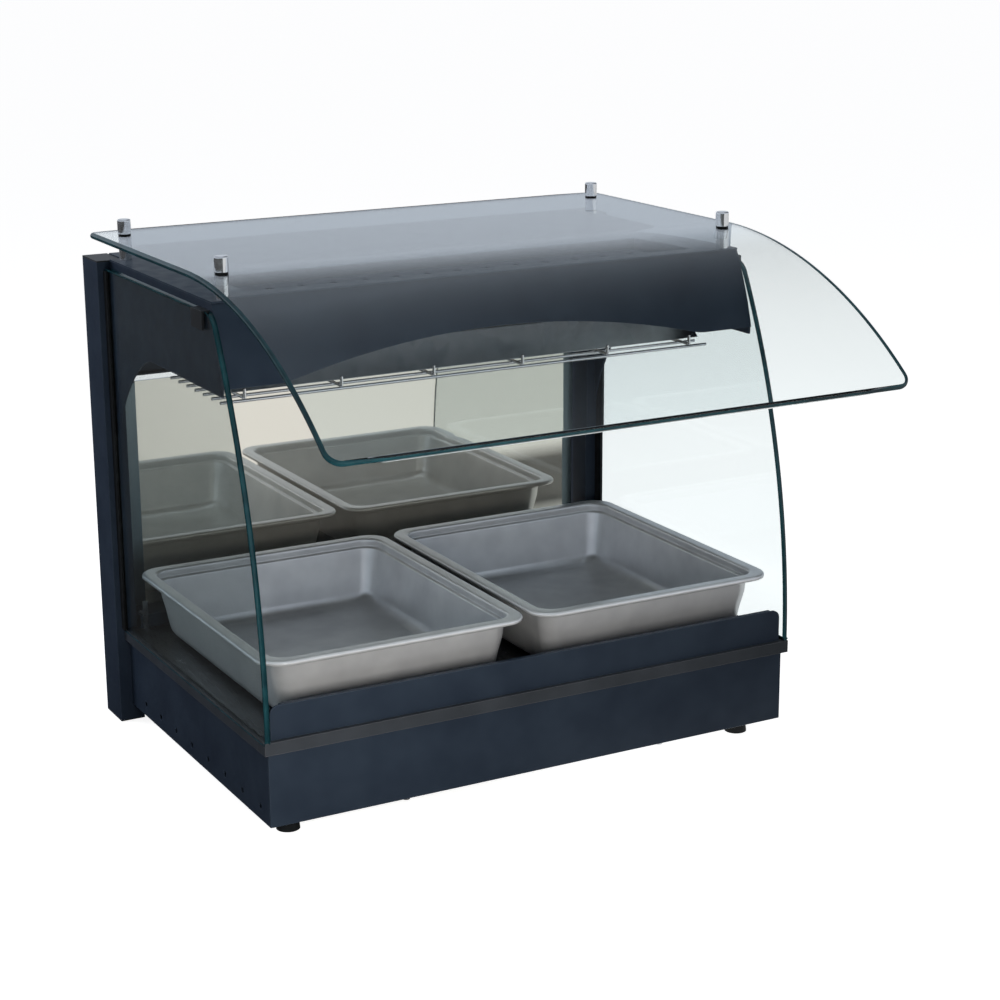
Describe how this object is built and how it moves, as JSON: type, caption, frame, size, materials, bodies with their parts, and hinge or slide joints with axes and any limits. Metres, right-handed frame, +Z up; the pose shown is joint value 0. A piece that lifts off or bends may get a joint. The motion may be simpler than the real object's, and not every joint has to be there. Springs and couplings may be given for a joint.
{
  "type": "heated display case",
  "caption": "Countertop heated food display: dark base and hood, curved side and canopy glass, steel pans on a warm deck, overhead heater and a hinged mirrored rear door.",
  "frame": {"origin": "on the counter, under the middle of the bounding box", "axes": "+X to the customer's right along the case, +Y from the customer's side to the operator's side, +Z up"},
  "size_m": [0.576, 0.574, 0.5152],
  "materials": {
    "dark_paint": "fine textured powder coat, satin",
    "trim_paint": "satin",
    "deck_black": "semi-gloss",
    "zinc_sheet": "mill finish",
    "stainless": "satin",
    "bright_wire": "bright",
    "bright_aluminium": "polished",
    "edge_aluminium": "satin anodised",
    "clear_glass": "clear, pale green edge",
    "mirror_glass": "mirror",
    "quartz": "frosted",
    "ceramic": "matt",
    "black_rubber": "matt",
    "black_plastic": "fine texture",
    "switch_red": "gloss",
    "lamp_lens": "clear gloss",
    "shaft_steel": "turned",
    "heater_silicone": "matt",
    "mineral_board": "fibrous",
    "lead_sheath": "woven glass sleeve",
    "terminal_plastic": "matt"
  },
  "bodies": {
    "case": {"base_front_panel": "dark_paint", "base_side_left": "dark_paint", "base_side_right": "dark_paint", "base_rear_panel": "dark_paint", "base_bottom_cover": "zinc_sheet", "cover_screws": "bright_wire", "trim_strip_front": "trim_paint", "trim_strip_sides": "trim_paint", "deck_plate": "deck_black", "deck_heating_mat": "heater_silicone", "insulation_board": "mineral_board", "insulation_tray": "zinc_sheet", "upper_front_panel": "dark_paint", "feet": "black_rubber", "column_left": "dark_paint", "column_right": "dark_paint", "column_plugs": "black_plastic", "heater_lead_sheath": "lead_sheath", "sheath_grommets": "black_rubber", "rear_sill": "dark_paint", "sill_clips": "stainless", "door_pivot_plates": "zinc_sheet", "hood_fascia": "dark_paint", "hood_side_left": "dark_paint", "hood_side_right": "dark_paint", "hood_top_panel": "dark_paint", "hood_floor_panel": "zinc_sheet", "hood_rear_panel": "dark_paint", "heater_reflector": "bright_aluminium", "reflector_ends": "bright_aluminium", "heating_tubes": "quartz", "tube_sockets": "ceramic", "reflector_hangers": "zinc_sheet", "heater_guard": "bright_wire", "side_glass_left": "clear_glass", "side_glass_right": "clear_glass", "side_glass_channels": "black_rubber", "side_glass_clips": "black_plastic", "canopy_glass": "clear_glass", "canopy_posts": "bright_wire", "canopy_grommets": "black_rubber", "canopy_caps": "bright_wire", "thermostat_body": "black_plastic", "overhead_control_body": "black_plastic", "power_switch_housing": "black_plastic", "power_inlet": "black_plastic", "pilot_lamp": "lamp_lens", "terminal_block": "terminal_plastic"},
    "rear_door": {"door_mirror": "mirror_glass", "door_edges": "edge_aluminium", "door_rail": "stainless", "door_handle": "stainless", "door_hinge_pins": "bright_wire"},
    "left_pan": {"pan_left": "stainless"},
    "right_pan": {"pan_right": "stainless"},
    "thermostat": {"thermostat_shaft": "shaft_steel", "thermostat_knob": "black_plastic"},
    "overhead_control": {"overhead_control_shaft": "shaft_steel", "overhead_control_knob": "black_plastic"},
    "power_switch": {"power_switch_rocker": "switch_red"}
  },
  "joints": [
    {"name": "rear_door_hinge", "type": "hinge", "parent": "case", "child": "rear_door", "pos_m": [0, 0.269, 0.342], "axis": [1, 0, 0], "range_deg": [0, 95]},
    {"name": "left_pan_lift", "type": "slide", "parent": "case", "child": "left_pan", "axis": [0, 0, 1], "range_m": [0, 0.08]},
    {"name": "right_pan_lift", "type": "slide", "parent": "case", "child": "right_pan", "axis": [0, 0, 1], "range_m": [0, 0.08]},
    {"name": "thermostat_turn", "type": "hinge", "parent": "case", "child": "thermostat", "pos_m": [-0.15, 0.27, 0.056], "axis": [0, -1, 0], "range_deg": [0, 270]},
    {"name": "overhead_control_turn", "type": "hinge", "parent": "case", "child": "overhead_control", "pos_m": [-0.06, 0.27, 0.056], "axis": [0, -1, 0], "range_deg": [0, 300]},
    {"name": "power_switch_tip", "type": "hinge", "parent": "case", "child": "power_switch", "pos_m": [0.04, 0.262, 0.056], "axis": [1, 0, 0], "range_deg": [-9, 9]}
  ]
}
